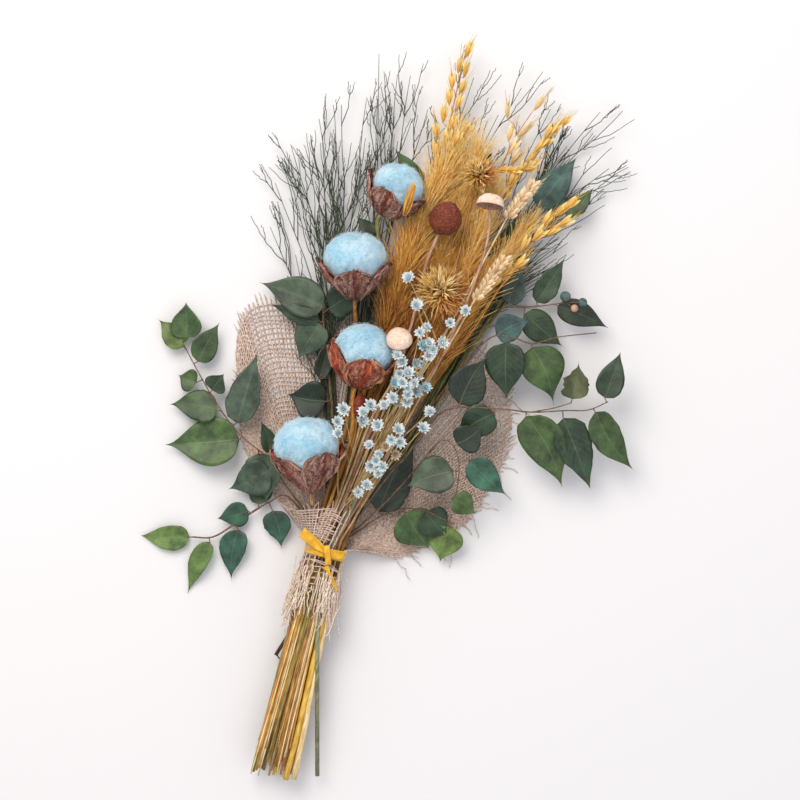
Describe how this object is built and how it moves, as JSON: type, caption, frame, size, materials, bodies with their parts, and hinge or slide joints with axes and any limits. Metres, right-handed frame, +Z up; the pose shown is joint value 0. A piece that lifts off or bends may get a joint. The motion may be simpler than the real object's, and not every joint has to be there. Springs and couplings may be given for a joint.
{
  "type": "dried cotton stem bunch",
  "caption": "Tied bunch of dried cotton stems, grasses, leafy branches and small flowers in a burlap wrap, lying flat.",
  "frame": {"origin": "bottom centre of the bunch's box as it lies, on the surface it rests on", "axes": "+Y along the stems towards the flower heads, +Z up from the surface, +X to the right seen from above"},
  "size_m": [0.3897, 0.5879, 0.0732],
  "materials": {
    "dry_stem": "dull dry brown bark",
    "cotton_lint": "fluffy pale blue dyed cotton",
    "cotton_burr": "wrinkled reddish-brown dry husk",
    "gold_straw": "dry gold straw",
    "cream_ear": "dry cream straw",
    "blue_star": "papery pale blue petals",
    "eucalyptus_leaf": "dried grey-green leaf, slight sheen",
    "green_broom": "thin dark green wiry stems",
    "fungus_cap": "velvety cream-pink",
    "seed_husk": "dull reddish brown",
    "burlap": "open jute weave, pinkish beige",
    "yellow_ribbon": "satin, mustard yellow"
  },
  "bodies": {
    "root": {"broom_left": "green_broom", "broom_right": "green_broom", "broom_top": "green_broom", "broom_top_left": "green_broom", "burlap_wrap": "burlap", "cotton_1_burr": "cotton_burr", "cotton_1_lint": "cotton_lint", "cotton_1_stem": "dry_stem", "cotton_2_burr": "cotton_burr", "cotton_2_lint": "cotton_lint", "cotton_2_stem": "dry_stem", "cotton_3_burr": "cotton_burr", "cotton_3_lint": "cotton_lint", "cotton_3_stem": "dry_stem", "cotton_4_burr": "cotton_burr", "cotton_4_lint": "cotton_lint", "cotton_4_stem": "dry_stem", "fungus_cap_1": "fungus_cap", "fungus_cap_1_stick": "cream_ear", "fungus_cap_2": "fungus_cap", "fungus_cap_2_stick": "cream_ear", "leaf_branch_left_inner": "eucalyptus_leaf", "leaf_branch_left_lower": "eucalyptus_leaf", "leaf_branch_left_upper": "eucalyptus_leaf", "leaf_branch_right_base": "eucalyptus_leaf", "leaf_branch_right_lower": "eucalyptus_leaf", "leaf_branch_right_middle": "eucalyptus_leaf", "leaf_branch_right_outer": "eucalyptus_leaf", "leaf_branch_right_top": "eucalyptus_leaf", "leaf_branch_right_upper": "eucalyptus_leaf", "leaf_branch_top": "eucalyptus_leaf", "oat_1": "gold_straw", "oat_2": "gold_straw", "oat_3": "gold_straw", "oat_4": "gold_straw", "oat_5": "gold_straw", "plume_1": "gold_straw", "plume_2": "gold_straw", "plume_3": "gold_straw", "plume_4": "gold_straw", "plume_5": "gold_straw", "ribbon_band": "yellow_ribbon", "ribbon_bow": "yellow_ribbon", "ribbon_tail": "yellow_ribbon", "seed_globe": "seed_husk", "seed_globe_stem": "seed_husk", "seed_pod": "seed_husk", "spiky_flower_1": "gold_straw", "spiky_flower_2": "gold_straw", "star_spray_1": "blue_star", "star_spray_2": "blue_star", "star_spray_3": "blue_star", "star_spray_4": "blue_star", "star_spray_5": "blue_star", "star_spray_6": "blue_star", "wheat_1": "cream_ear", "wheat_2": "cream_ear"}
  },
  "joints": []
}
